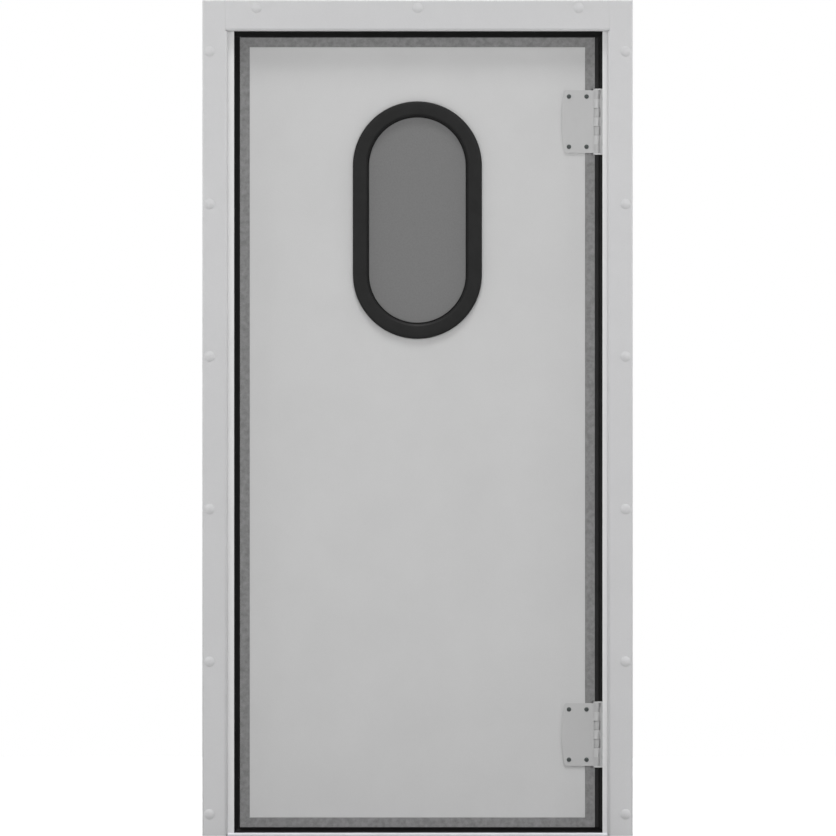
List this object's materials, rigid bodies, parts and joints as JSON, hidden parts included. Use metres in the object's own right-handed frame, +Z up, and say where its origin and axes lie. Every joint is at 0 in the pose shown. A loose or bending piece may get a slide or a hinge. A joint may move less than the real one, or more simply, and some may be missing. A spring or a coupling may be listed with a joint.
{
  "type": "double-acting swing door",
  "caption": "Single-leaf insulated traffic door that swings both ways in a clamp-on wall frame, with an oval porthole, rubber seals and sprung pin hinges.",
  "frame": {"origin": "on the floor, at the middle of the sill's underside, halfway through the wall", "axes": "+X across the doorway to the hinge side, +Y through the wall to the rear, +Z up"},
  "size_m": [1.126, 0.11, 2.186],
  "materials": {
    "frame_paint": "powder coated, light grey, satin",
    "panel_paint": "light grey coated sheet, fine grain",
    "panel_foam": "rigid insulating foam, hidden",
    "edge_grey": "mid grey extruded profile, matt, mottled",
    "seal_black": "black extruded rubber, satin",
    "ring_black": "black moulded rubber, smooth satin",
    "pane_grey": "clear pane that looks grey against the room behind",
    "spacer_grey": "plain",
    "hinge_paint": "light grey, satin",
    "pin_steel": "turned",
    "sill_metal": "plain mill finish"
  },
  "bodies": {
    "frame": {"sill": "sill_metal", "latch_jamb_front_casing": "frame_paint", "latch_jamb_rear_casing": "frame_paint", "hinge_jamb_front_casing": "frame_paint", "hinge_jamb_rear_casing": "frame_paint", "head_front_casing": "frame_paint", "head_rear_casing": "frame_paint", "latch_jamb_liner": "frame_paint", "hinge_jamb_liner": "frame_paint", "latch_seal": "seal_black", "head_seal": "seal_black", "sill_seal": "seal_black", "upper_hinge_jamb_bracket": "hinge_paint", "upper_hinge_pin": "pin_steel", "upper_hinge_top_cap": "hinge_paint", "upper_hinge_bottom_cap": "hinge_paint", "lower_hinge_jamb_bracket": "hinge_paint", "lower_hinge_pin": "pin_steel", "lower_hinge_top_cap": "hinge_paint", "lower_hinge_bottom_cap": "hinge_paint"},
    "leaf": {"leaf_core": "panel_foam", "leaf_front_skin": "panel_paint", "leaf_rear_skin": "panel_paint", "leaf_bottom_edge": "edge_grey", "leaf_top_edge": "edge_grey", "leaf_latch_edge": "edge_grey", "leaf_hinge_edge": "edge_grey", "nose_seal_bottom": "seal_black", "nose_seal_middle": "seal_black", "nose_seal_top": "seal_black", "porthole_spacer": "spacer_grey", "porthole_front_pane": "pane_grey", "porthole_rear_pane": "pane_grey", "porthole_front_gasket": "ring_black", "porthole_rear_gasket": "ring_black", "upper_hinge_leaf_bracket": "hinge_paint", "lower_hinge_leaf_bracket": "hinge_paint"}
  },
  "joints": [
    {"name": "leaf_swing", "type": "hinge", "parent": "frame", "child": "leaf", "pos_m": [0.4665, 0, 0], "axis": [0, 0, 1], "range_deg": [-90, 90], "stiffness_Nm_per_rad": 15}
  ]
}
